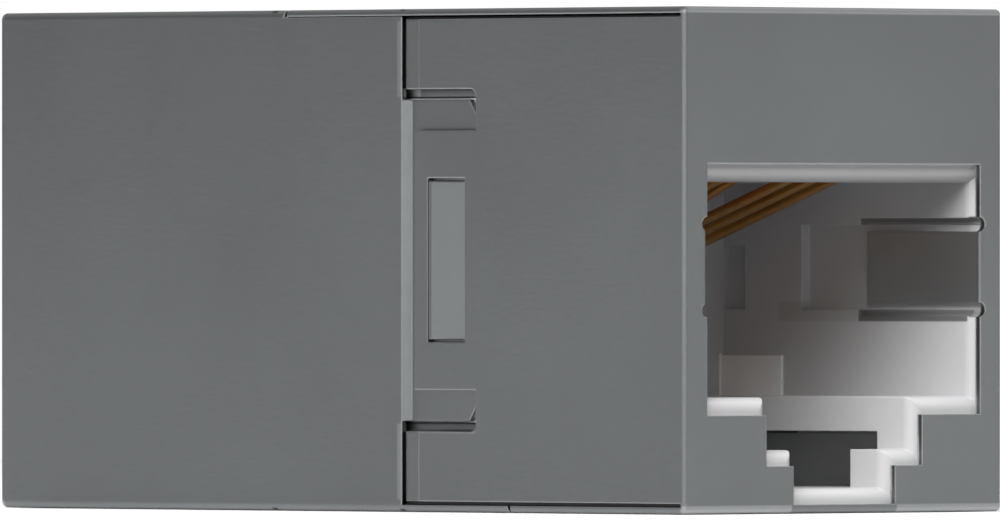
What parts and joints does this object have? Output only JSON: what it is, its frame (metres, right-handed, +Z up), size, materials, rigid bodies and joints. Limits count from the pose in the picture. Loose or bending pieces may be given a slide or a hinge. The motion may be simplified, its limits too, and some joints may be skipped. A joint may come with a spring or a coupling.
{
  "type": "ethernet inline coupler",
  "caption": "Small shielded box that joins two network leads end to end, with a latching modular port at each end and snap-together pressed metal shells.",
  "frame": {"origin": "centre of the base, on the surface it stands on", "axes": "+Y along the length towards the rear port, +Z up, +X across the width"},
  "size_m": [0.014, 0.0304, 0.0156],
  "materials": {
    "shield_metal": "satin nickel-plated pressed sheet",
    "jack_plastic": "pale grey moulded thermoplastic",
    "comb_plastic": "dark moulded thermoplastic",
    "board_laminate": "glass-fibre laminate under green lacquer",
    "contact_metal": "gold-flashed spring bronze"
  },
  "bodies": {
    "root": {"front_shell": "shield_metal", "rear_shell": "shield_metal", "front_jack": "jack_plastic", "rear_jack": "jack_plastic", "front_comb": "comb_plastic", "rear_comb": "comb_plastic", "circuit_board": "board_laminate", "front_contact_1": "contact_metal", "front_contact_2": "contact_metal", "front_contact_3": "contact_metal", "front_contact_4": "contact_metal", "front_contact_5": "contact_metal", "front_contact_6": "contact_metal", "front_contact_7": "contact_metal", "front_contact_8": "contact_metal", "rear_contact_1": "contact_metal", "rear_contact_2": "contact_metal", "rear_contact_3": "contact_metal", "rear_contact_4": "contact_metal", "rear_contact_5": "contact_metal", "rear_contact_6": "contact_metal", "rear_contact_7": "contact_metal", "rear_contact_8": "contact_metal"}
  },
  "joints": []
}
